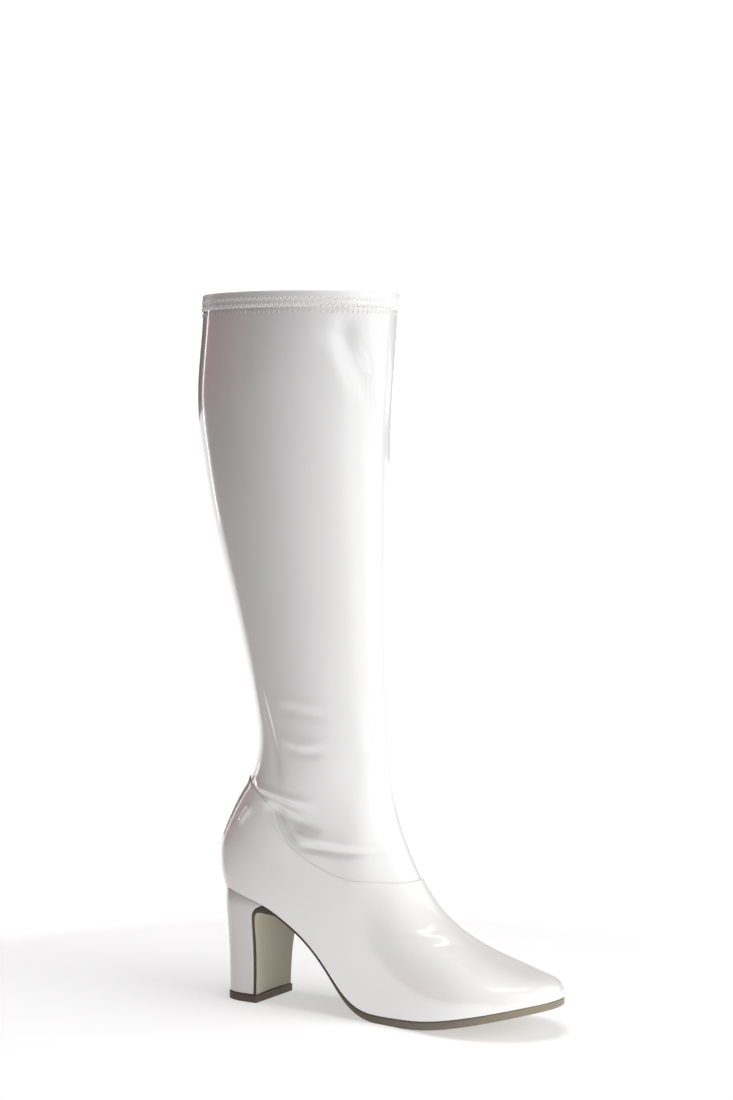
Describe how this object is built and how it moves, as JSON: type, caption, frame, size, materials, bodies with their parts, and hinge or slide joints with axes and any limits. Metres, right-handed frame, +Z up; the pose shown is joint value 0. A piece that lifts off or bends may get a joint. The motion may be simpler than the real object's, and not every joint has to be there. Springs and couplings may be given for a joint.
{
  "type": "go go boot",
  "caption": "Knee-high stretch patent boot for the right foot, on a straight block heel, with a lapped foot part and a narrow hem at the collar.",
  "frame": {"origin": "centre of the heel top piece's ground face, on the floor that the boot stands on", "axes": "+X to the toe, +Y to the inner side of this right boot, +Z up the shaft"},
  "size_m": [0.2582, 0.112, 0.4581],
  "materials": {
    "patent": "white patent, mirror gloss",
    "stretch_patent": "white stretch patent, mirror gloss",
    "heel_cover": "white patent cover, gloss",
    "sole": "satin, dark taupe edge",
    "top_piece": "matt dark brown",
    "insole": "matt pale lining"
  },
  "bodies": {
    "root": {"upper": "patent", "shaft": "stretch_patent", "heel_block": "heel_cover", "outsole": "sole", "heel_top_piece": "top_piece", "insole": "insole"}
  },
  "joints": []
}
